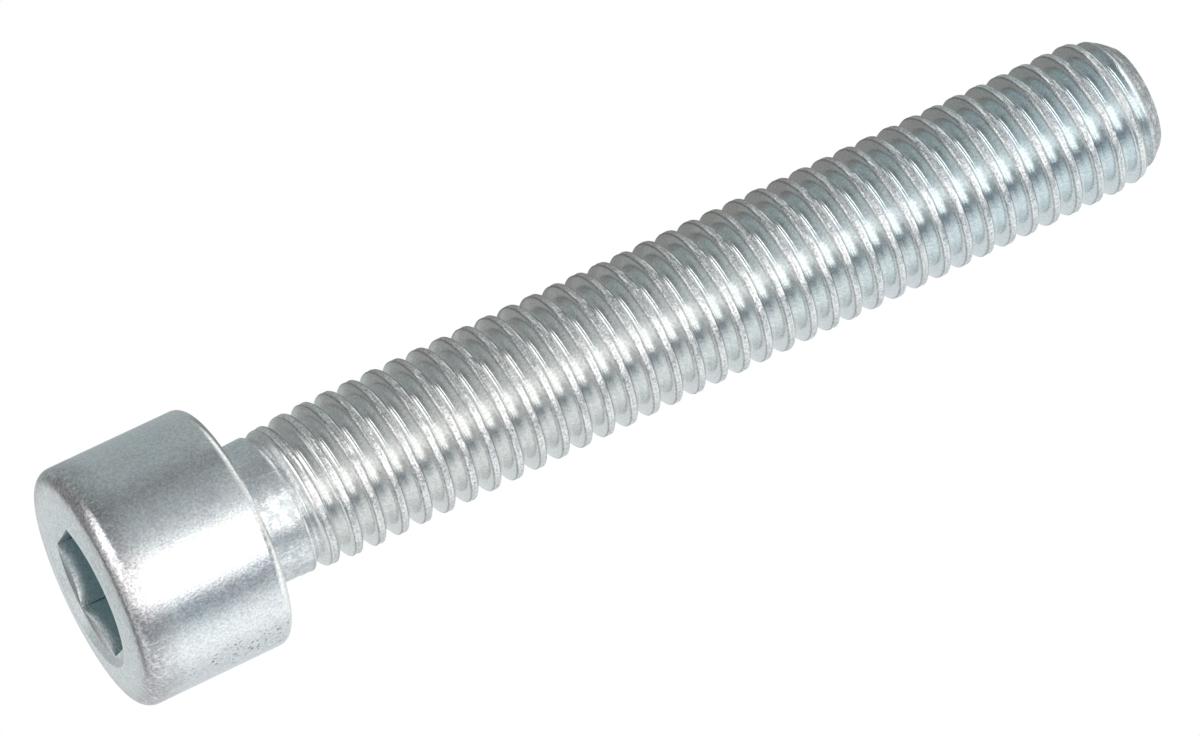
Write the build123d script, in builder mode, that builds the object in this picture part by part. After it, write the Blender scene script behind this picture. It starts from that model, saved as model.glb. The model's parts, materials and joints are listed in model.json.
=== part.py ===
from build123d import *
from math import ceil, cos, radians, tan
import os

# Hexagon socket head cap screw, threaded up to a short neck
# It stands on its head: Z runs along the axis, from the head's face at zero up to the tip
# Lengths are in millimetres, angles in degrees

# Head
head_diameter = 12.22
head_height = 7.9
head_edge_radius = 0.75
head_foot_radius = 0.5
face_drop = 0.3
lip_width = 0.2

# Hexagon socket in the head's face, corners toward +Y and -Y
socket_flats = 6.05
socket_depth = 4.3
socket_floor_drop = 0.6
socket_floor_diameter = 5.6
mouth_margin = 0.03
mouth_bevel = 0.3
mouth_angle = 72.0
socket_sides = 6
socket_turn = 30.0

# Shank under the head, with a plain neck before the thread
shank_length = 50.0
neck_length = 2.0
neck_relief = 0.31
neck_fillet = 0.4
neck_fade = 1.5

# Right-hand thread
thread_diameter = 7.72
thread_pitch = 1.25
thread_angle = 60.0
crest_width = 0.34
first_crest = 1.0
runout_length = 3.0
hidden_turns = 2
spare_turns = 2
arcs_per_turn = 3

# Rounded bevel at the tip
tip_length = 2.73
tip_drop = 1.07
stock_margin = 0.09

# Worked-out sizes
head_radius = head_diameter / 2
crest_radius = thread_diameter / 2
thread_depth = (thread_pitch - crest_width) / 2 / tan(radians(thread_angle / 2))
root_radius = crest_radius - thread_depth
neck_radius = crest_radius - neck_relief
stock_radius = crest_radius + stock_margin
tip_radius = crest_radius - tip_drop
corner_radius = socket_flats / 2 / cos(radians(180 / socket_sides))
step_radius = corner_radius + mouth_margin
mouth_radius = step_radius + mouth_bevel
mouth_depth = mouth_bevel + step_radius / tan(radians(mouth_angle))
lip_radius = mouth_radius + lip_width
neck_end = head_height + neck_length
tip_end = head_height + shank_length


def helix(radius, height, angle):
    """One arc of a right-hand helix that starts at this height and angle."""
    rise = thread_pitch / arcs_per_turn
    return Edge.make_helix(thread_pitch, rise, radius, center=(0, 0, height)).rotate(Axis.Z, angle)


def thread_solid():
    """A rod of full turns: crest, two flanks and a sharp root, closed by a helicoid at each end."""
    half_crest = crest_width / 2
    profile = [(crest_radius, -half_crest), (crest_radius, half_crest), (root_radius, thread_pitch / 2)]
    profile.append((crest_radius, thread_pitch - half_crest))
    base = head_height + first_crest - hidden_turns * thread_pitch
    turns = ceil((tip_end - base) / thread_pitch) + spare_turns
    top = base + turns * thread_pitch
    faces = []
    for arc in range(turns * arcs_per_turn):
        height = base + arc * thread_pitch / arcs_per_turn
        angle = arc * 360 / arcs_per_turn
        edges = [helix(radius, height + rise, angle) for radius, rise in profile]
        faces += [Face.make_surface_from_curves(low, high) for low, high in zip(edges, edges[1:])]
    for end in (base, top):
        for arc in range(arcs_per_turn):
            height = end - half_crest + arc * thread_pitch / arcs_per_turn
            axis_line = Edge.make_line((0, 0, height), (0, 0, height + thread_pitch / arcs_per_turn))
            outer = helix(crest_radius, height, arc * 360 / arcs_per_turn)
            faces.append(Face.make_surface_from_curves(axis_line, outer))
        step = [(0, 0, end + profile[0][1])]
        step += [(radius, 0, end + rise) for radius, rise in profile]
        step.append((0, 0, end + profile[-1][1]))
        faces.append(Face(Wire.make_polygon(step, close=True)))
    return Solid(Shell(faces))


# Outer limit of the thread: crests rise out of the neck and fall away at the tip
runout_slope = neck_relief / runout_length
limit_base = head_height + neck_length / 2
limit_base_radius = neck_radius - runout_slope * (neck_end - limit_base)
limit_full = limit_base + (stock_radius - limit_base_radius) / runout_slope
with BuildPart() as thread_limit:
    with BuildSketch(Plane.XZ):
        with BuildLine():
            tip_start = (stock_radius, tip_end - tip_length)
            Polyline((0, tip_end), (0, limit_base), (limit_base_radius, limit_base),
                     (stock_radius, limit_full), tip_start)
            TangentArc(tip_start, (tip_radius, tip_end), tangent=(0, 1))
            Line((tip_radius, tip_end), (0, tip_end))
        make_face()
    revolve(axis=Axis.Z)

with BuildPart() as thread:
    add(thread_solid())
    add(thread_limit.part, mode=Mode.INTERSECT)

# Head and neck, as one turned blank: the head's face falls away a little from the lip round the socket
with BuildPart() as blank:
    with BuildSketch(Plane.XZ):
        with BuildLine():
            Polyline((0, 0), (lip_radius, 0), (head_radius, face_drop), (head_radius, head_height),
                     (neck_radius, head_height), (neck_radius, neck_end),
                     (root_radius - stock_margin, neck_end + neck_fade), (0, neck_end + neck_fade), close=True)
        make_face()
    revolve(axis=Axis.Z)
    circles = blank.edges().filter_by(GeomType.CIRCLE)
    face_ring = circles.filter_by_position(Axis.Z, face_drop, face_drop)
    inner_ring, outer_ring = circles.filter_by_position(Axis.Z, head_height, head_height).sort_by(SortBy.RADIUS)
    fillet(face_ring, head_edge_radius)
    fillet(outer_ring, head_foot_radius)
    fillet(inner_ring, neck_fillet)

with BuildPart() as socket_screw:
    add(blank.part)
    add(thread.part)
    # Hexagon socket with a shallow cone in its floor
    with BuildSketch():
        RegularPolygon(corner_radius, socket_sides, rotation=socket_turn)
    extrude(amount=socket_depth, mode=Mode.SUBTRACT)
    with BuildSketch(Plane.XZ):
        with BuildLine():
            Polyline((0, socket_depth), (socket_floor_diameter / 2, socket_depth),
                     (0, socket_depth + socket_floor_drop), close=True)
        make_face()
    revolve(axis=Axis.Z, mode=Mode.SUBTRACT)
    # Bevel round the socket's mouth, with a flatter cone below it that breaks the hexagon's edges
    with BuildSketch(Plane.XZ):
        with BuildLine():
            Polyline((0, 0), (mouth_radius, 0), (step_radius, mouth_bevel), (0, mouth_depth), close=True)
        make_face()
    revolve(axis=Axis.Z, mode=Mode.SUBTRACT)

socket_screw.part.label = "socket_screw"
os.makedirs("parts", exist_ok=True)
export_step(socket_screw.part, "parts/socket_screw.step")
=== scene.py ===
import json
from math import ceil, cos, pi, radians, sin, tan
from types import SimpleNamespace

import bmesh
import bpy
import numpy as np
from mathutils import Matrix, Vector, noise


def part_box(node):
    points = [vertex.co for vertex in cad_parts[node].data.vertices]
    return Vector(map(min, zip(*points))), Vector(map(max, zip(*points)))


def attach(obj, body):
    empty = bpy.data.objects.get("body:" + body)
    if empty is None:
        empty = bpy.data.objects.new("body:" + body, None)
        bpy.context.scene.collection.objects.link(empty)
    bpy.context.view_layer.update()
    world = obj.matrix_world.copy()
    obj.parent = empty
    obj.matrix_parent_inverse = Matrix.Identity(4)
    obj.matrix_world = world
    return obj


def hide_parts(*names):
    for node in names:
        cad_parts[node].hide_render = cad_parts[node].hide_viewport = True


# The screw's finish: a fine mesh of the whole screw takes the place of its solid
# Design sizes are in millimetres, and MM turns them into the frame's metres
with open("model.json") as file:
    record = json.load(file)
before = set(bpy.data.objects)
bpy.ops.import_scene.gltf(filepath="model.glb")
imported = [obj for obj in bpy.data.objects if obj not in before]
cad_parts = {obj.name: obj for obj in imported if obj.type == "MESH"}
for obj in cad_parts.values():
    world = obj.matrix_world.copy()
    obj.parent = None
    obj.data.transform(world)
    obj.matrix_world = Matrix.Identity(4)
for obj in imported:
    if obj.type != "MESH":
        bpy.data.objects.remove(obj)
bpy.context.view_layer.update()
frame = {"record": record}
NODE = "socket_screw"
SLOT = "zinc_plated_steel"
MM = 0.001

# Sizes read from the frame
_, box_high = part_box(NODE)
mounts = {mount["name"]: mount for mount in frame["record"]["mounts"]}
head_radius = box_high.x / MM
head_height = mounts["bearing_face"]["pos_m"][2] / MM
tip_end = box_high.z / MM

# Head
head_edge_radius = 0.75
head_foot_radius = 0.5
face_drop = 0.3
lip_width = 0.2

# Hexagon socket, corners toward +Y and -Y
socket_flats = 6.05
socket_depth = 4.3
socket_floor_drop = 0.6
socket_floor_radius = 2.8
socket_corner_round = 0.05
mouth_margin = 0.03
mouth_bevel = 0.3
mouth_angle = radians(72)
lip_round = 0.06

# Neck and thread
neck_length = 2.0
neck_relief = 0.31
neck_fillet = 0.4
neck_fade = 1.5
crest_radius = 3.86
thread_pitch = 1.25
flank_slope = 1 / tan(radians(30))
crest_width = 0.34
first_crest = 1.0
runout_length = 3.0
root_round = 0.06
crest_round = 0.15

# Wear of the crests: how deep and how far along they are chipped, and how fine
crest_wear = 0.07
crest_wear_base_share = 0.5
crest_shift = 0.09
wear_scale = 2.7
shift_scale = 3.1
shift_offset = Vector((40, 0, 0))

# Rounded bevel at the tip
tip_length = 2.73
tip_drop = 1.07
tip_inset = 0.1
stock_margin = 0.09

# Mesh: columns round the axis, and rows across one pitch as shares of it from the crest's middle
columns = 108
row_shares = (-0.5, -0.47, -0.43, -0.35, -0.26, -0.185, -0.152, -0.128, -0.075,
              0.0, 0.075, 0.128, 0.152, 0.185, 0.26, 0.35, 0.43, 0.47)
spare_turns = 2
sharp_angle = radians(38)

# Mesh of the head: rings as shares of each stretch, steps in each arc, and two rings under the head
socket_floor_shares = (0.25, 0.5, 0.75, 1.0)
socket_foot_share = 0.97
socket_wall_shares = (1.0, 0.97, 0.7, 0.4, 0.15, 0.03)
mouth_cone_shares = (0.1, 0.5, 0.9)
mouth_bevel_shares = (0.95, 0.6, 0.3)
face_shares = (0.15, 0.5, 0.85)
side_shares = (0.2, 0.4, 0.6, 0.8)
lip_steps = 4
edge_steps = 10
foot_steps = 9
fillet_steps = 6
foot_margin = 0.3
fillet_margin = 0.2

# Where the finish changes, from where each change starts to where it ends
# A rise or fall is at heights above the head's face or past an edge, and insets go in from an edge
thread_rise = 0.8
crest_insets = (0.12, 0.02)
# Lines of painted shade along both edges of each crest: their widths, and how far the tip-side one lies past
# the crest
head_line_width = 0.07
tip_line_width = 0.11
tip_line_shift = 0.05
along_insets = (10, 2)
neck_rise = 0.3
scuff_turn = radians(66)
scuff_spreads = (radians(14), radians(5))
scuff_rise = (1.5, 3.0)
socket_rise = (0.1, 0.6)
socket_edge = 0.02
socket_fall = (1, 2)
mouth_fall = 0.1
mouth_edge = 0.05
face_fall = 0.1
face_insets = (1, 0.4)
skirt_rise = (0.85, 1.1)
skirt_fall = (1.2, 1.8)
skirt_edge = 0.2
rim_fall = (0.5, 2.2)
rim_insets = (1.2, 0.5)
tip_insets = (1.3, 0.4)

# Worked-out sizes
neck_radius = crest_radius - neck_relief
neck_end = head_height + neck_length
thread_depth = (thread_pitch - crest_width) / 2 * flank_slope
root_radius = crest_radius - thread_depth
stock_radius = crest_radius + stock_margin
corner_radius = socket_flats / 2 / cos(pi / 6)
step_radius = corner_radius + mouth_margin
mouth_radius = step_radius + mouth_bevel
lip_radius = mouth_radius + lip_width
neck_ring = head_height + neck_fillet
column_angles = np.arange(columns) * 2 * pi / columns

# The photograph's view: a wide frame of this many pixels, with the screw's axis rolled and tilted in it
PHOTO_WIDTH = 1200
PHOTO_HEIGHT = 736
SENSOR = 36.0
view_roll = radians(25.365)
view_tilt = radians(16.475)
view_azimuth = radians(-81.6)
view_distance = 365.9
view_near = 10
pixels_per_mm = 21.175
bearing_pixel = (233.4, 524.3)


def smooth_min(a, b, blend):
    """The lower of two curves, with the corner between them rounded."""
    share = np.clip(0.5 + 0.5 * (b - a) / blend, 0, 1)
    return b * (1 - share) + a * share - blend * share * (1 - share)


def smooth_max(a, b, blend):
    """The higher of two curves, with the corner between them rounded."""
    return -smooth_min(-a, -b, blend)


def smooth_step(low, high, x):
    """Rises from 0 to 1 between low and high."""
    share = np.clip((x - low) / (high - low), 0, 1)
    return share * share * (3 - 2 * share)


def smooth_fall(low, high, x):
    """Falls from 1 to 0 between low and high."""
    return 1 - smooth_step(low, high, x)


def thread_depth_at(phase):
    """How far the thread's surface lies under its crest, by the distance from the crest's middle."""
    from_root = np.sqrt((thread_pitch / 2 - np.abs(phase)) ** 2 + root_round ** 2)
    return smooth_max(thread_depth - flank_slope * from_root, 0 * phase, crest_round)


def tip_limit(z):
    """Radius of the rounded bevel at the tip, an arc that leaves the stock's side without a corner."""
    fall = stock_radius - crest_radius + tip_drop
    radius = (tip_length ** 2 + fall ** 2) / (2 * fall)
    along = np.clip(z - tip_end + tip_length, 0, tip_length)
    return stock_radius - radius + np.sqrt(radius ** 2 - along ** 2)


def shank_radius(phase, z):
    """The shank's surface: the neck, and the thread between its run-out and the tip's bevel."""
    runout = neck_radius + neck_relief / runout_length * (z - neck_end)
    limit = smooth_min(tip_limit(z), np.maximum(runout, neck_radius - neck_relief), crest_round)
    thread = smooth_min(crest_radius - thread_depth_at(phase), limit, crest_round)
    fade = (neck_radius - root_radius + stock_margin) / neck_fade
    blank = np.where(z < neck_end + neck_fade, neck_radius - fade * np.maximum(z - neck_end, 0), 0)
    return smooth_max(thread, blank, crest_round)


def turn_from_flat(angle):
    """The angle from the middle of the hexagon's nearest flat."""
    return (angle + pi / 6) % (pi / 3) - pi / 6


def arc(centre, radius, start, end, steps):
    """Points (radius, height) on a quarter turn or less of a lathe profile, from degrees to degrees."""
    angles = np.linspace(radians(start), radians(end), steps)
    return [(centre[0] + radius * cos(a), centre[1] + radius * sin(a)) for a in angles]


def socket_rings():
    """Rings from the socket's floor up its walls to the mouth's cone: radius and height for each column."""
    wall = socket_flats / 2 / np.cos(turn_from_flat(column_angles))
    wall = smooth_min(wall, np.full(columns, corner_radius), socket_corner_round)
    lip = mouth_bevel + (step_radius - wall) / tan(mouth_angle)
    flat = np.ones(columns)
    rings = [(share * socket_floor_radius * flat, socket_depth + (1 - share) * socket_floor_drop * flat)
             for share in socket_floor_shares]
    rings.append((socket_foot_share * wall, socket_depth * flat))
    rings += [(wall, lip + (socket_depth - lip) * share) for share in socket_wall_shares]
    rings += [(wall + (step_radius - wall) * share, lip + (mouth_bevel - lip) * share)
              for share in mouth_cone_shares]
    return rings


def head_profile():
    """Points (radius, height) from the mouth's bevel over the head's face and side to the neck."""
    profile = [(mouth_radius - share * mouth_bevel, share * mouth_bevel) for share in mouth_bevel_shares]
    profile += arc((mouth_radius + lip_round * tan(pi / 8), lip_round), lip_round, 225, 270, lip_steps)
    profile.append((lip_radius, 0))
    slope = np.arctan2(face_drop, head_radius - lip_radius)
    edge_z = face_drop + head_edge_radius * (1 / cos(slope) - tan(slope))
    edge_centre = (head_radius - head_edge_radius, edge_z)
    edge = arc(edge_centre, head_edge_radius, np.degrees(slope) - 90, 0, edge_steps)
    face_end, face_end_z = edge[0]
    profile += [(lip_radius + (face_end - lip_radius) * share, face_end_z * share) for share in face_shares]
    profile += edge
    foot = head_height - head_foot_radius
    profile += [(head_radius, edge_z + share * (foot - edge_z)) for share in side_shares]
    profile += arc((head_radius - head_foot_radius, foot), head_foot_radius, 0, 90, foot_steps)
    profile.append((head_radius - head_foot_radius - foot_margin, head_height))
    profile.append((neck_radius + neck_fillet + fillet_margin, head_height))
    profile += arc((neck_radius + neck_fillet, neck_ring), neck_fillet, 270, 180, fillet_steps)
    return profile


def crest_mask(phase, z):
    """1 on the thread's worn crest, 0 on the flanks and the neck."""
    half = crest_width / 2
    on_crest = smooth_fall(half - crest_insets[0], half - crest_insets[1], np.abs(phase))
    return on_crest * smooth_step(neck_end, neck_end + thread_rise, z)


def wear_crests(points, worn):
    """Chips the crests and bends them a little along the axis, the same way each run."""
    for i in np.nonzero(worn)[0]:
        place = Vector(points[i])
        chip = noise.noise(place * wear_scale)
        bend = noise.noise(place * shift_scale + shift_offset)
        points[i, :2] *= 1 - worn[i] * crest_wear * (crest_wear_base_share + chip) / crest_radius
        points[i, 2] += worn[i] * crest_shift * bend


def screw_mesh():
    """The whole screw as one mesh, which runs on past the tip's face until close_tip cuts it off."""
    flat = np.ones(columns)
    rings = socket_rings() + [(radius * flat, height * flat) for radius, height in head_profile()]
    points = [(0, 0, socket_depth + socket_floor_drop)]
    for radius, height in rings:
        points += zip(radius * np.cos(column_angles), radius * np.sin(column_angles), height)
    faces = [(0, 1 + i, 1 + (i + 1) % columns) for i in range(columns)]
    for ring in range(len(rings) - 1):
        low = 1 + ring * columns
        high = low + columns
        faces += [(low + i, high + i, high + (i + 1) % columns, low + (i + 1) % columns)
                  for i in range(columns)]
    last_ring = 1 + (len(rings) - 1) * columns

    # Helical strip from the neck past the tip, one pitch wide
    rows = len(row_shares)
    start = neck_ring - head_height - first_crest - row_shares[0] * thread_pitch
    first = ceil(start / thread_pitch * columns) + 1
    steps = ceil((tip_end - neck_ring) / thread_pitch + spare_turns) * columns
    step, share = np.meshgrid(np.arange(first, first + steps), np.array(row_shares), indexing="ij")
    turn = 2 * pi * step / columns
    phase = share * thread_pitch
    z = head_height + first_crest + thread_pitch * (step / columns + share)
    radius = shank_radius(phase, z)
    strip_points = np.stack([radius * np.cos(turn), radius * np.sin(turn), z], 2).reshape(-1, 3)
    wear_crests(strip_points, crest_mask(phase, z).ravel())
    base = len(points)
    points += [tuple(place) for place in strip_points]

    def strip(s, k):
        """Point k across the strip at step s, where a k past the last row is on the next turn."""
        return base + (s + k // rows * columns) * rows + k % rows

    for s in range(steps - columns - 1):
        faces += [(strip(s, k), strip(s + 1, k), strip(s + 1, k + 1), strip(s, k + 1)) for k in range(rows)]

    # Faces from the neck's last ring to the first turn, and one at the step where that turn begins
    for s in range(columns - 1):
        i = last_ring + (first + s) % columns
        j = last_ring + (first + s + 1) % columns
        faces.append((i, j, strip(s + 1, 0), strip(s, 0)))
    seam = [last_ring + (first + columns - 1) % columns, last_ring + first % columns]
    seam += [strip(0, k) for k in range(rows + 1)] + [strip(columns - 1, 0)]
    faces.append(seam)
    mesh = bpy.data.meshes.new(NODE + "_finish")
    mesh.from_pydata([Vector(point) for point in points], [], faces)
    return mesh


def close_tip(mesh):
    """Cuts the strip at the tip's face and closes it there with a flat face."""
    shape = bmesh.new()
    shape.from_mesh(mesh)
    bmesh.ops.bisect_plane(shape, geom=shape.verts[:] + shape.edges[:] + shape.faces[:],
                           plane_co=(0, 0, tip_end), plane_no=(0, 0, 1), clear_outer=True)
    rim = [edge for edge in shape.edges if edge.is_boundary]
    filled = bmesh.ops.holes_fill(shape, edges=rim, sides=0)
    bmesh.ops.inset_region(shape, faces=filled["faces"], thickness=tip_inset)
    bmesh.ops.recalc_face_normals(shape, faces=shape.faces[:])
    shape.to_mesh(mesh)
    shape.free()


def line(phase, middle, width):
    """1 on the middle of a narrow line along the thread, 0 beside it."""
    return smooth_fall(0, width, np.abs(phase - middle))


def thread_places(angle, z):
    """Places on the shank: the neck, the thread, its crests and the lines at their edges, which get painted
    shade and more wear, how far along, and the tip.
    """
    phase = (z - head_height - first_crest) - thread_pitch * angle / (2 * pi)
    phase = (phase + thread_pitch / 2) % thread_pitch - thread_pitch / 2
    thread = smooth_step(neck_end, neck_end + thread_rise, z)
    # Lines along both edges of each crest get painted shade, and more pits, grain and bump as wear
    head_line = line(phase, -crest_width / 2, head_line_width)
    tip_line = line(phase, crest_width / 2 + tip_line_shift, tip_line_width)
    return {
        "crest": crest_mask(phase, z),
        "thread": thread,
        "edge": np.maximum(head_line, tip_line) * thread,
        "along": smooth_step(neck_end + along_insets[0], tip_end - along_insets[1], z),
        "neck": smooth_step(head_height, head_height + neck_rise, z)
        * smooth_fall(neck_end, neck_end + neck_fade, z),
        "tip": smooth_step(tip_end - tip_insets[0], tip_end - tip_insets[1], z),
    }


def head_places(angle, radius, z):
    """Places on the head: the socket and its corners, which get painted shade, the mouth, face, rim, the
    skirt by it, and a scuffed spot.
    """
    from_scuff = np.cos(angle - view_azimuth - scuff_turn)
    return {
        "socket": smooth_step(mouth_bevel + socket_rise[0], mouth_bevel + socket_rise[1], z)
        * smooth_fall(step_radius, step_radius + socket_edge, radius)
        * smooth_fall(socket_depth + socket_fall[0], socket_depth + socket_fall[1], z),
        "corner": smooth_step(pi / 6 - 2 * pi / columns, pi / 6, np.abs(turn_from_flat(angle))),
        "mouth": smooth_fall(mouth_bevel, mouth_bevel + mouth_fall, z)
        * smooth_fall(mouth_radius, mouth_radius + mouth_edge, radius)
        * smooth_step(step_radius - mouth_edge, step_radius, radius),
        "face": smooth_fall(face_drop, face_drop + face_fall, z)
        * smooth_fall(head_radius - face_insets[0], head_radius - face_insets[1], radius),
        "skirt": smooth_step(*skirt_rise, z) * smooth_fall(*skirt_fall, z)
        * smooth_step(head_radius - skirt_edge, head_radius, radius),
        "rim": smooth_fall(*rim_fall, z)
        * smooth_step(head_radius - rim_insets[0], head_radius - rim_insets[1], radius),
        "scuff": smooth_step(cos(scuff_spreads[0]), cos(scuff_spreads[1]), from_scuff)
        * smooth_step(*scuff_rise, z) * smooth_fall(head_height - head_foot_radius, head_height, z),
    }


def mark_places(mesh):
    """Keeps each place as a vertex attribute from 0 to 1, and returns their names."""
    co = np.zeros(len(mesh.vertices) * 3)
    mesh.vertices.foreach_get("co", co)
    x, y, z = co.reshape(-1, 3).T
    angle = np.arctan2(y, x)
    places = thread_places(angle, z) | head_places(angle, np.hypot(x, y), z)
    for name, values in places.items():
        attribute = mesh.attributes.new(name, "FLOAT", "POINT")
        attribute.data.foreach_set("value", values.astype(np.float32))
    return list(places)


mesh = screw_mesh()
close_tip(mesh)
place_names = mark_places(mesh)
mesh.transform(Matrix.Scale(MM, 4))
mesh.shade_smooth()
mesh.set_sharp_from_angle(angle=sharp_angle)
screw = bpy.data.objects.new("screw_finish", mesh)
bpy.context.scene.collection.objects.link(screw)
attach(screw, "root")
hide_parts(NODE)


class Graph:
    """Adds shader nodes to a tree: each input is set to a value, or linked where a socket is given."""

    def __init__(self, tree):
        self.tree = tree

    def add(self, kind, inputs, **settings):
        node = self.tree.nodes.new("ShaderNode" + kind)
        for name, value in settings.items():
            setattr(node, name, value)
        for key, value in inputs.items():
            if isinstance(value, bpy.types.NodeSocket):
                self.tree.links.new(value, node.inputs[key])
            else:
                node.inputs[key].default_value = value
        return node

    def math(self, operation, first, second):
        return self.add("Math", {0: first, 1: second}, operation=operation).outputs[0]

    def times(self, first, second):
        return self.math("MULTIPLY", first, second)

    def most(self, first, second):
        return self.math("MAXIMUM", first, second)

    def scaled(self, vector, scale):
        return self.add("VectorMath", {0: vector, "Scale": scale}, operation="SCALE").outputs[0]

    def noise(self, place, scale, detail, roughness, distortion=0.0):
        inputs = {"Vector": place, "Scale": scale, "Detail": detail, "Roughness": roughness,
                  "Distortion": distortion}
        return self.add("TexNoise", inputs).outputs[0]

    def between(self, value, low, high, to_low=0.0, to_high=1.0):
        inputs = {"Value": value, 1: low, 2: high, 3: to_low, 4: to_high}
        return self.add("MapRange", inputs, interpolation_type="SMOOTHSTEP").outputs[0]

    def mix(self, share, first, second):
        first, second = [c if isinstance(c, bpy.types.NodeSocket) else (*c, 1) for c in (first, second)]
        return self.add("Mix", {0: share, 6: first, 7: second}, data_type="RGBA").outputs[2]

    def blend(self, share, first, second):
        return self.add("Mix", {0: share, 2: first, 3: second}, data_type="FLOAT").outputs[0]

    def place(self, name):
        return self.add("Attribute", {}, attribute_name=name).outputs["Fac"]

    def link(self, socket, node, key):
        self.tree.links.new(socket, self.tree.nodes[node].inputs[key])


# Colours of the finish
zinc_cool = (0.82, 0.856, 0.865)
zinc_warm = (0.85, 0.858, 0.842)
zinc_mauve = (0.79, 0.79, 0.815)
thread_grey = (0.82, 0.828, 0.815)
thread_teal = (0.765, 0.828, 0.842)
worn_grey = (0.8, 0.797, 0.795)
worn_blue = (0.73, 0.76, 0.775)
face_green = (0.745, 0.79, 0.77)
neck_grey = (0.6, 0.64, 0.655)
mouth_pale = (0.85, 0.915, 0.925)
# Painted shade for the lines in the socket's corners
socket_corner_shade = (0.13, 0.2, 0.22)
# Painted shade for the lines along the crests' edges
crest_edge_shade = (0.45, 0.45, 0.44)
rim_mauve = (0.6, 0.585, 0.595)
skirt_mauve = (0.47, 0.46, 0.475)
tip_dull = (0.36, 0.395, 0.405)
# Painted shade over the socket's walls and floor, as a darker teal
socket_shade_teal = (0.4, 0.54, 0.565)
speck_dark = (0.16, 0.16, 0.17)
scratch_pale = (0.97, 0.97, 0.97)

# Noises of the finish: features per millimetre, detail and roughness, and for the patches their distortion
cloud_noise = (0.5, 3, 0.6)
mottle_noise = (2.4, 5, 0.65)
grain_noise = (9.0, 4, 0.7)
patch_noise = (1.1, 4, 0.6, 0.6)
scratch_noise = (7.0, 2, 0.5)
speck_noise = (5.0, 3, 0.55)
fleck_noise = (7.5, 3, 0.65)
scratch_stretch = (1.0, 1.0, 0.05)

# Where in its noise or mark a thing starts and ends, and what it goes from and to where that isn't 0 and 1
cloud_range = (0.35, 0.65)
patch_range = (0.5, 0.68)
rim_range = (0.25, 0.55)
neck_range = (0.42, 0.56)
skirt_range = (0.3, 0.6)
tip_range = (0.36, 0.6, 0.35, 1.0)
scratch_range = (0.66, 0.7)
scratched_range = (0.4, 0.6)
pit_range = (0.62, 0.72)
scuff_range = (0.6, 0.66)
corner_range = (0.7, 0.9)
flat_grain_range = (0.3, 0.7, 0.82, 1.09)
deep_grain_range = (0.34, 0.66, 0.64, 1.14)
satin_range = (0.3, 0.7, 0.13, 0.27)

# How much of the pits and of the deep grain shows, by place
plain_pit_share = 0.15
edge_pit_share = 0.6
head_grain_share = 0.45

# Metal, roughness and relief by place, on the thread from its start to its end
worn_metal_share = 0.82
neck_metal_share = 0.65
socket_metal_share = 0.45
mouth_metal_share = 0.4
thread_rough = (0.21, 0.14)
neck_rough = 0.22
skirt_rough = 0.3
worn_rough = 0.22
grain_height_share = 0.9
mottle_height_share = 0.6
relief_height = 0.05
head_bump_share = 0.23
thread_bump_shares = (0.05, 0.12)
neck_bump_share = 0.32
rim_bump_share = 0.3
worn_bump_share = 0.6


def zinc_places(graph, place):
    """Sockets of the marked places and of the two main noises, and of places worked out from them."""
    at = SimpleNamespace(**{name: graph.place(name) for name in place_names})
    at.mottle = graph.noise(place, *mottle_noise)
    at.grain = graph.noise(place, *grain_noise)
    at.head = graph.math("SUBTRACT", 1.0, at.thread)
    at.worn = graph.most(at.crest, at.tip)
    at.edges = graph.most(graph.most(at.worn, at.rim), at.edge)
    at.rim_spots = graph.times(at.rim, graph.between(at.mottle, *rim_range))
    at.neck_spots = graph.times(at.neck, graph.between(at.mottle, *neck_range))
    at.skirt_spots = graph.times(at.skirt, graph.between(at.mottle, *skirt_range))
    at.tip_spots = graph.times(at.tip, graph.between(at.mottle, *tip_range))
    return at


def zinc_colour(graph, place, at):
    """The plating's colour by place with painted shade along the crests' edges, then scratches, pits and the
    socket's painted shade, with a grain over all.
    """
    cloud = graph.noise(place, *cloud_noise)
    patches = graph.between(graph.noise(place, *patch_noise), *patch_range)
    tone = graph.mix(graph.between(cloud, *cloud_range), zinc_cool, zinc_warm)
    tone = graph.mix(graph.times(patches, at.head), tone, zinc_mauve)
    tone = graph.mix(at.thread, tone, graph.mix(at.along, thread_grey, thread_teal))
    tone = graph.mix(at.face, tone, face_green)
    tone = graph.mix(at.neck_spots, tone, neck_grey)
    tone = graph.mix(at.worn, tone, graph.mix(at.along, worn_grey, worn_blue))
    # Painted shade along both edges of each crest
    tone = graph.mix(at.edge, tone, crest_edge_shade)
    tone = graph.mix(at.tip_spots, tone, tip_dull)
    tone = graph.mix(at.rim_spots, tone, rim_mauve)
    tone = graph.mix(at.skirt_spots, tone, skirt_mauve)
    tone = graph.mix(at.mouth, tone, mouth_pale)

    streaks = graph.add("VectorMath", {0: place, 1: scratch_stretch}, operation="MULTIPLY").outputs[0]
    scratches = graph.between(graph.noise(streaks, *scratch_noise), *scratch_range)
    scratches = graph.times(graph.times(scratches, at.head), graph.between(at.mottle, *scratched_range))
    tone = graph.mix(scratches, tone, scratch_pale)
    specks = graph.noise(place, *speck_noise)
    pit_share = graph.blend(at.edges, plain_pit_share, edge_pit_share)
    pits = graph.times(graph.between(specks, *pit_range), pit_share)
    pits = graph.most(pits, graph.times(graph.between(specks, *scuff_range), at.scuff))
    tone = graph.mix(pits, tone, speck_dark)
    # Painted shade in the socket: dark lines in its corners over a darker teal on its walls and floor
    corners = graph.between(at.corner, *corner_range)
    tone = graph.mix(at.socket, tone, graph.mix(corners, socket_shade_teal, socket_corner_shade))

    flat_grain = graph.between(at.grain, *flat_grain_range)
    deep_grain = graph.between(graph.noise(place, *fleck_noise), *deep_grain_range)
    deep_share = graph.most(at.edges, graph.times(at.head, head_grain_share))
    return graph.scaled(tone, graph.blend(deep_share, flat_grain, deep_grain))


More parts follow.
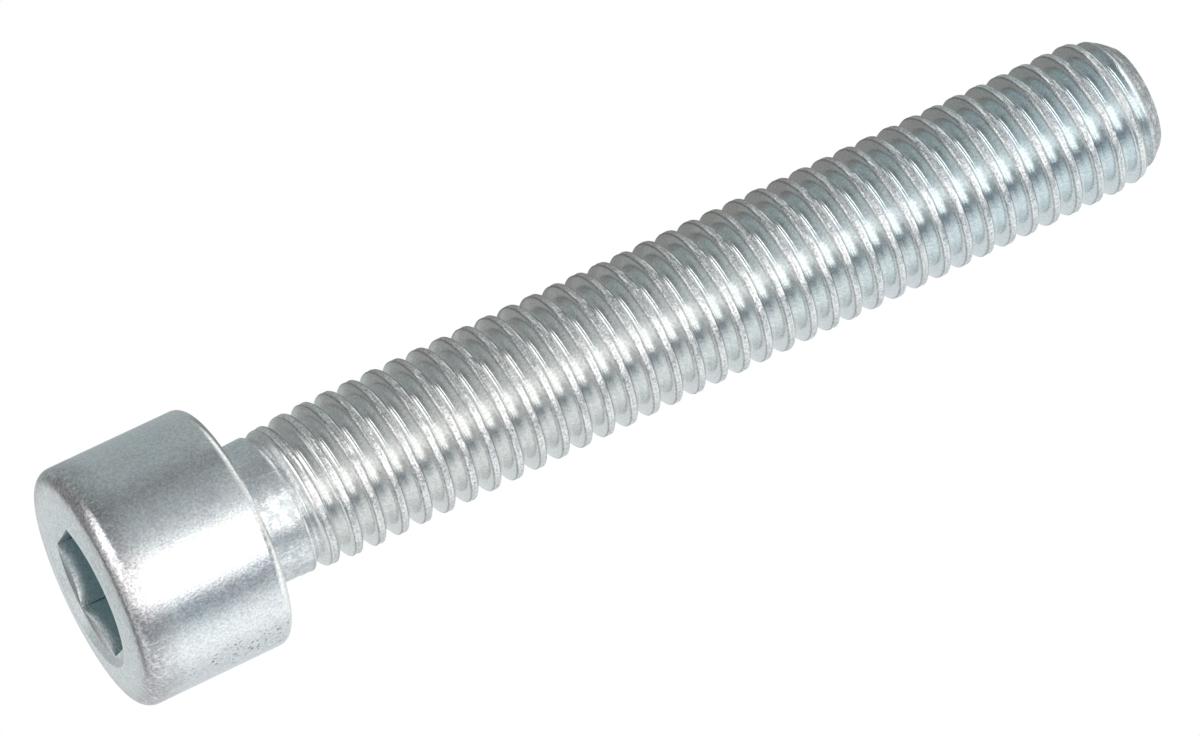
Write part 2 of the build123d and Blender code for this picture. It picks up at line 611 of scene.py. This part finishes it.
def zinc_metal(graph, at):
    """Bare metal everywhere but for worn and dull places, the mouth and the socket."""
    metal = graph.blend(at.mouth, graph.blend(at.worn, 1.0, worn_metal_share), mouth_metal_share)
    metal = graph.blend(at.neck_spots, metal, neck_metal_share)
    return graph.blend(at.socket, metal, socket_metal_share)


def zinc_roughness(graph, at):
    """Satin in patches on the head, smoother along the thread, and duller where worn."""
    satin = graph.between(at.mottle, *satin_range)
    satin = graph.blend(at.thread, satin, graph.blend(at.along, *thread_rough))
    satin = graph.blend(at.neck, satin, neck_rough)
    satin = graph.blend(at.skirt, satin, skirt_rough)
    return graph.blend(graph.most(at.worn, at.rim_spots), satin, worn_rough)


def zinc_relief(graph, at):
    """A fine grain on the head, little on the flanks, coarse where worn."""
    fine = graph.times(at.grain, grain_height_share)
    coarse = graph.times(at.mottle, mottle_height_share)
    relief = graph.math("ADD", fine, coarse)
    depth = graph.blend(at.thread, head_bump_share, graph.blend(at.along, *thread_bump_shares))
    depth = graph.blend(at.neck, depth, neck_bump_share)
    depth = graph.blend(at.rim, depth, rim_bump_share)
    depth = graph.blend(graph.most(at.worn, at.edge), depth, worn_bump_share)
    bump = graph.add("Bump", {"Strength": depth, "Distance": relief_height * MM, "Height": relief})
    return bump.outputs[0]


def zinc_material():
    """Bright zinc plating: bluish and satin, with a fine grain, worn crests and edges, painted shade along
    the crests' edges, and a socket darkened with painted shade.
    """
    material = bpy.data.materials.new(SLOT)
    material.use_nodes = True
    graph = Graph(material.node_tree)
    place = graph.scaled(graph.add("TexCoord", {}).outputs["Object"], 1 / MM)
    at = zinc_places(graph, place)
    graph.link(zinc_colour(graph, place, at), "Principled BSDF", "Base Color")
    graph.link(zinc_metal(graph, at), "Principled BSDF", "Metallic")
    graph.link(zinc_roughness(graph, at), "Principled BSDF", "Roughness")
    graph.link(zinc_relief(graph, at), "Principled BSDF", "Normal")
    return material


screw.data.materials.append(zinc_material())


def add_camera():
    """A camera that sees the screw as the photograph does."""
    axis = Vector((cos(view_tilt) * cos(view_roll), cos(view_tilt) * sin(view_roll), -sin(view_tilt)))
    image_up = Vector((-sin(view_roll), cos(view_roll), 0))
    toward = axis.cross(image_up)
    row_x = cos(view_azimuth) * toward + sin(view_azimuth) * image_up
    row_y = sin(view_azimuth) * toward - cos(view_azimuth) * image_up
    turn = Matrix((row_x, row_y, axis))
    bearing = Vector(((bearing_pixel[0] - PHOTO_WIDTH / 2) / pixels_per_mm,
                      (PHOTO_HEIGHT / 2 - bearing_pixel[1]) / pixels_per_mm, -view_distance))
    place = -(turn @ (bearing - head_height * axis)) * MM
    camera = bpy.data.objects.new("camera", bpy.data.cameras.new("camera"))
    camera.matrix_world = Matrix.Translation(place) @ turn.to_4x4()
    camera.data.sensor_fit = "HORIZONTAL"
    camera.data.sensor_width = SENSOR
    camera.data.lens = SENSOR * pixels_per_mm * view_distance / PHOTO_WIDTH
    camera.data.clip_start = view_near * MM
    bpy.context.scene.collection.objects.link(camera)
    bpy.context.scene.camera = camera


add_camera()

# The studio round the screw is a dome, in metres, that shows only in reflections
# By azimuth from the camera in degrees: how bright it is, and its shares of red and blue against green
dome_radius = 0.6
dome_step = 4.0
glow_floor = (
    (-180, 0.80, 0.98, 1.0), (-20, 0.88, 1.0, 1.0), (30, 0.88, 1.0, 1.0), (60, 0.70, 0.98, 1.0),
    (180, 0.80, 0.98, 1.0),
)
glow_under_front = (
    (-158, 0.36, 0.97, 1.0), (-70, 0.36, 0.97, 1.0), (-62, 2.3, 1.0, 1.0), (-22, 2.3, 1.0, 1.0),
    (-12, 1.6, 1.0, 1.0), (34, 1.6, 1.0, 1.0), (38, 0.5, 0.9, 1.08), (56, 0.3, 0.9, 1.1),
    (70, 0.75, 0.95, 1.03), (100, 1.0, 0.96, 1.02), (130, 0.80, 0.96, 1.02),
)
glow_under = (
    (-180, 0.80, 0.96, 1.03), (-166, 0.80, 0.96, 1.03), *glow_under_front, (180, 0.80, 0.96, 1.03),
)
glow_cone = (
    (-180, 0.25, 0.96, 1.03), (-160, 0.25, 0.96, 1.03), *glow_under_front,
    (150, 0.25, 0.96, 1.03), (180, 0.25, 0.96, 1.03),
)
glow_low = (
    (-180, 0.80, 0.96, 1.03), (-174, 0.80, 0.96, 1.03), (-168, 0.50, 0.90, 1.02), (-140, 0.45, 0.90, 1.02),
    (-100, 0.42, 0.89, 1.02), (-76, 0.39, 0.90, 1.02), (-70, 0.27, 0.92, 1.04), (-58, 0.27, 0.92, 1.04),
    (-50, 0.37, 0.92, 1.04), (-34, 0.49, 0.92, 1.04), (-22, 0.62, 0.94, 1.04), (-10, 0.85, 0.95, 1.04),
    (-5, 1.2, 1.0, 1.0), (-3, 1.9, 1.0, 1.0), (38, 1.9, 1.0, 1.0), (40, 0.8, 0.9, 1.1),
    (43, 0.28, 0.86, 1.16), (56, 0.28, 0.86, 1.16), (60, 0.5, 0.9, 1.08), (70, 0.75, 0.93, 1.05),
    (76, 1.0, 0.96, 1.02), (84, 1.08, 0.96, 1.02), (102, 1.15, 0.96, 1.02), (112, 0.92, 0.96, 1.02),
    (130, 0.79, 0.95, 1.02), (180, 0.80, 0.96, 1.03),
)
glow_high = (
    (-180, 0.75, 0.96, 1.03), (-165, 0.40, 0.96, 1.0), (-140, 0.35, 0.96, 1.0), (-118, 0.50, 0.96, 1.0),
    (-104, 1.4, 0.97, 1.01), (-92, 1.4, 0.97, 1.01), (-80, 1.1, 0.97, 1.01), (-68, 0.82, 0.97, 1.01),
    (-40, 0.78, 0.97, 1.02), (-20, 0.80, 0.98, 1.02), (-10, 1.0, 0.99, 1.02), (-4, 1.05, 1.0, 1.0),
    (18, 1.05, 1.0, 1.0), (25, 0.10, 0.9, 1.1), (46, 0.10, 0.9, 1.1), (51, 0.35, 0.92, 1.07),
    (60, 0.75, 0.95, 1.04), (72, 1.1, 0.97, 1.01), (80, 1.35, 0.99, 0.99), (110, 1.1, 0.99, 0.99),
    (140, 1.0, 0.99, 0.99), (180, 0.75, 0.96, 1.03),
)

# The dome's rows by elevation in degrees
dome_rows = (
    (-88, glow_floor), (-70, glow_floor), (-62, glow_cone), (-42, glow_cone), (-36, glow_under),
    (-14, glow_under), (-8, glow_low), (22, glow_low), (38, glow_high), (72, glow_high),
)

# A dark card close behind the thread, in metres, which shows in the flanks and misses the head
card_distance = 0.025
card_azimuth = radians(-145)
card_width = 0.036
card_low = 0.0205
card_high = 0.056
card_colour = (0.29, 0.29, 0.2784, 1)


def add_glowing(name, points, faces, colours):
    """Adds a piece of the studio that glows in its points' colours and shows only in reflections."""
    mesh = bpy.data.meshes.new(name)
    mesh.from_pydata(points, [], faces)
    glow = mesh.attributes.new("glow", "FLOAT_COLOR", "POINT")
    glow.data.foreach_set("color", np.ravel(colours).astype(np.float32))
    look = bpy.data.materials.new(name)
    look.use_nodes = True
    look.node_tree.nodes.clear()
    graph = Graph(look.node_tree)
    colour = graph.add("Attribute", {}, attribute_name="glow").outputs["Color"]
    light = graph.add("Emission", {"Color": colour, "Strength": 1.0})
    graph.add("OutputMaterial", {"Surface": light.outputs[0]})
    mesh.materials.append(look)
    piece = bpy.data.objects.new(name, mesh)
    bpy.context.scene.collection.objects.link(piece)
    piece.visible_camera = False
    piece.visible_diffuse = False
    piece.visible_shadow = False


def add_dome():
    """A curved wall all round, with a ring of points for each row and a colour from its table."""
    stops = [stop[0] for _, table in dome_rows for stop in table]
    turns = np.unique(np.concatenate([np.arange(-180, 181, dome_step), stops]))
    around = view_azimuth + np.radians(turns)
    points, colours = [], []
    for elevation, table in dome_rows:
        azimuth, level, red, blue = np.array(table).T
        green = np.interp(turns, azimuth, level)
        colours.append(np.stack([green * np.interp(turns, azimuth, red), green,
                                 green * np.interp(turns, azimuth, blue), np.ones(len(turns))], 1))
        reach = dome_radius * cos(radians(elevation))
        height = dome_radius * sin(radians(elevation))
        points += [(reach * cos(a), reach * sin(a), height) for a in around]
    row = len(turns)
    faces = [(k * row + i, k * row + i + 1, (k + 1) * row + i + 1, (k + 1) * row + i)
             for k in range(len(dome_rows) - 1) for i in range(row - 1)]
    add_glowing("studio_dome", points, faces, colours)


def add_card():
    """Hides the dome from part of the thread, as a flag in a studio does."""
    out = Vector((cos(view_azimuth + card_azimuth), sin(view_azimuth + card_azimuth), 0))
    side = Vector((-out.y, out.x, 0)) * card_width / 2
    up = Vector((0, 0, 1))
    corners = [out * card_distance + share * side + height * up
               for height, share in ((card_low, -1), (card_low, 1), (card_high, 1), (card_high, -1))]
    add_glowing("studio_card", corners, [(0, 1, 2, 3)], [card_colour] * 4)


add_dome()
add_card()

# Floor, world and lamp, in metres
floor_reach = 1.5
floor_drop = 0.05 * MM
floor_grey = (0.86, 0.86, 0.86, 1)
floor_rough = 0.8
white = (1, 1, 1, 1)
seen_level = 1.0
light_level = 0.7
lamp_power = 2.0
lamp_size = 0.4
lamp_place = (0.3, -0.3, 0.6)


def add_floor():
    """A pale floor just under the screw, clear from below and to rays that a surface throws back."""
    mesh = bpy.data.meshes.new("floor")
    corners = [(x * floor_reach, y * floor_reach, -floor_drop)
               for x, y in ((-1, -1), (1, -1), (1, 1), (-1, 1))]
    mesh.from_pydata(corners, [], [(0, 1, 2, 3)])
    floor = bpy.data.objects.new("floor", mesh)
    bpy.context.scene.collection.objects.link(floor)
    look = bpy.data.materials.new("pale_floor")
    look.use_nodes = True
    surface = look.node_tree.nodes["Principled BSDF"]
    surface.inputs["Base Color"].default_value = floor_grey
    surface.inputs["Roughness"].default_value = floor_rough
    graph = Graph(look.node_tree)
    ray = graph.add("LightPath", {}).outputs
    behind = graph.add("NewGeometry", {}).outputs["Backfacing"]
    through = graph.most(graph.most(ray["Is Glossy Ray"], behind), ray["Is Diffuse Ray"])
    clear = graph.add("BsdfTransparent", {}).outputs[0]
    mixed = graph.add("MixShader", {"Fac": through, 1: surface.outputs[0], 2: clear}).outputs[0]
    graph.link(mixed, "Material Output", "Surface")
    mesh.materials.append(look)


def add_world():
    """White behind all that the camera and metal see, and a softer white that lights the screw."""
    world = bpy.data.worlds.new("studio")
    bpy.context.scene.world = world
    world.use_nodes = True
    graph = Graph(world.node_tree)
    backdrop = world.node_tree.nodes["Background"]
    backdrop.inputs["Color"].default_value = white
    backdrop.inputs["Strength"].default_value = seen_level
    soft = graph.add("Background", {"Color": white, "Strength": light_level}).outputs[0]
    ray = graph.add("LightPath", {}).outputs
    seen = graph.most(graph.most(ray["Is Camera Ray"], ray["Is Glossy Ray"]), ray["Is Transmission Ray"])
    mixed = graph.add("MixShader", {"Fac": seen, 1: soft, 2: backdrop.outputs[0]}).outputs[0]
    graph.link(mixed, "World Output", "Surface")


def add_lamp():
    """A soft lamp that faces the place where the screw stands."""
    lamp = bpy.data.objects.new("lamp", bpy.data.lights.new("lamp", "AREA"))
    lamp.data.energy = lamp_power
    lamp.data.size = lamp_size
    lamp.location = lamp_place
    lamp.rotation_euler = Vector(lamp_place).to_track_quat("Z", "Y").to_euler()
    bpy.context.scene.collection.objects.link(lamp)


add_floor()
add_world()
add_lamp()

bpy.context.scene.view_settings.view_transform = "Standard"
